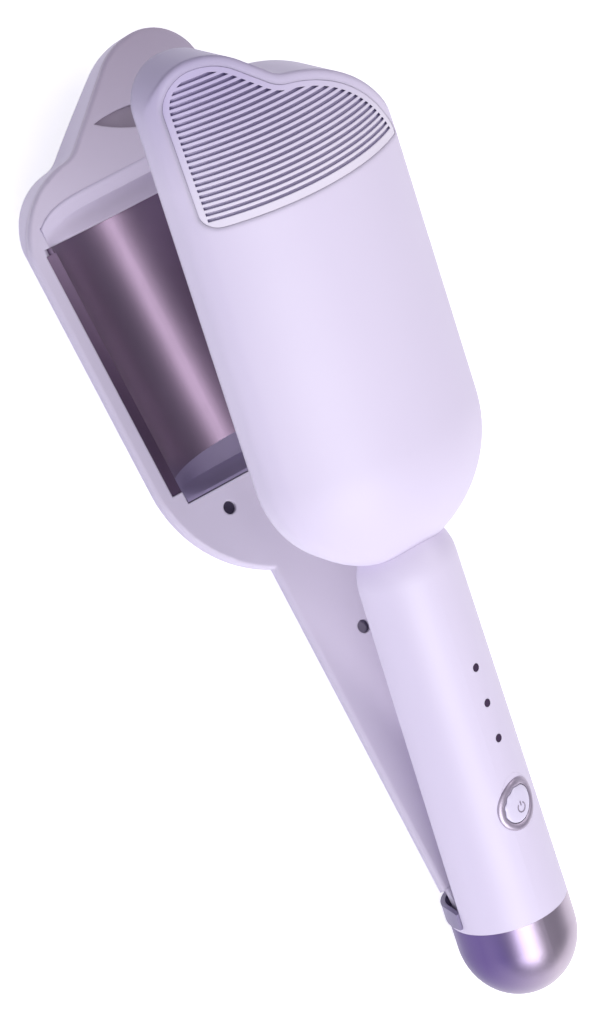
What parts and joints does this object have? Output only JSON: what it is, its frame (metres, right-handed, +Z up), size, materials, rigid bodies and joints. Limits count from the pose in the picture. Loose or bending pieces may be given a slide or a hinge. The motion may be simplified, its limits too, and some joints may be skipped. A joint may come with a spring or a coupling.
{
  "type": "wave curling iron",
  "caption": "Clamp-type wave curling iron with two bullet-shaped hinged jaws, a heated trough and barrel, and a push button on the handle.",
  "frame": {"origin": "middle of the bounding box, at the surface the object lies on", "axes": "+X from the butt to the tips, +Y to the side the picture is taken from, +Z up"},
  "size_m": [0.3148, 0.081, 0.149],
  "materials": {
    "lavender_plastic": "satin",
    "mauve_metal": "satin",
    "cap_metal": "satin",
    "ring_metal": "satin",
    "button_plastic": "gloss",
    "lens": "gloss",
    "dark_plastic": "matte",
    "board": "matte",
    "heater": "matte",
    "shield": "matte",
    "steel": "brushed",
    "dark_steel": "dark"
  },
  "bodies": {
    "handle": {"handle_shell": "lavender_plastic", "handle_floor": "lavender_plastic", "end_cap": "cap_metal", "button_bezel": "ring_metal", "status_lenses": "lens", "circuit_board": "board", "tact_switch": "dark_plastic", "hinge_pin": "steel", "return_spring": "steel", "upper_head_cover": "lavender_plastic", "upper_heart_grille": "lavender_plastic", "upper_frame": "lavender_plastic", "barrel_plate": "mauve_metal", "barrel_end_butt": "dark_plastic", "barrel_end_tip": "dark_plastic", "upper_heater": "heater", "upper_heat_shield": "shield", "thermal_fuse": "steel", "upper_frame_screws": "steel"},
    "lower_jaw": {"lower_casing": "lavender_plastic", "lower_heart_grille": "lavender_plastic", "lower_frame": "lavender_plastic", "trough_plate": "mauve_metal", "trough_end_block": "dark_plastic", "lower_heater": "heater", "lower_heat_shield": "shield", "lower_frame_screws": "dark_steel"},
    "button": {"power_button": "button_plastic"},
    "swivel": {"cord_swivel": "dark_plastic"}
  },
  "joints": [
    {"name": "jaw_hinge", "type": "hinge", "parent": "handle", "child": "lower_jaw", "pos_m": [-0.1222, 0, 0.0242], "axis": [0, -1, 0], "range_deg": [0, 22], "stiffness_Nm_per_rad": 0.8, "springref_deg": -51.57},
    {"name": "button_press", "type": "slide", "parent": "handle", "child": "button", "axis": [0.3601, 0.2756, -0.8913], "range_m": [0, 0.0008], "stiffness_N_per_m": 900, "springref_m": -0.0008},
    {"name": "swivel_turn", "type": "hinge", "parent": "handle", "child": "swivel", "pos_m": [-0.15086, 0, 0.01424], "axis": [0.9272, 0, 0.3746], "continuous": true}
  ]
}
